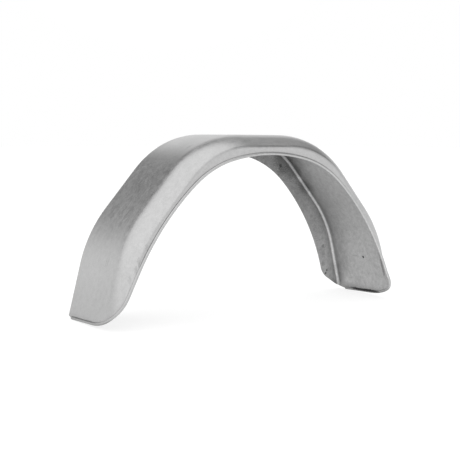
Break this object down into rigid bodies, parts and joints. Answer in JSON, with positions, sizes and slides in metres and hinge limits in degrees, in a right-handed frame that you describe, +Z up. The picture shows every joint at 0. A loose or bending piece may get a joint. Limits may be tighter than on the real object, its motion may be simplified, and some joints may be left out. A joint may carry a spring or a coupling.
{
  "type": "trailer mudguard",
  "caption": "Pressed steel mudguard for a single trailer wheel, with a rounded shoulder, a rolled edge on the outer side and a flat fixing flange on the inner side.",
  "frame": {"origin": "centre of the footprint, at the level of the bottom of the legs", "axes": "+X along the guard in the direction of travel, +Y towards the trailer (flange side), -Y towards the road side (rolled edge), +Z up"},
  "size_m": [0.7246, 0.2032, 0.371],
  "materials": {
    "galvanised_steel": "dull galvanised, satin"
  },
  "bodies": {
    "root": {"mudguard": "galvanised_steel"}
  },
  "joints": []
}
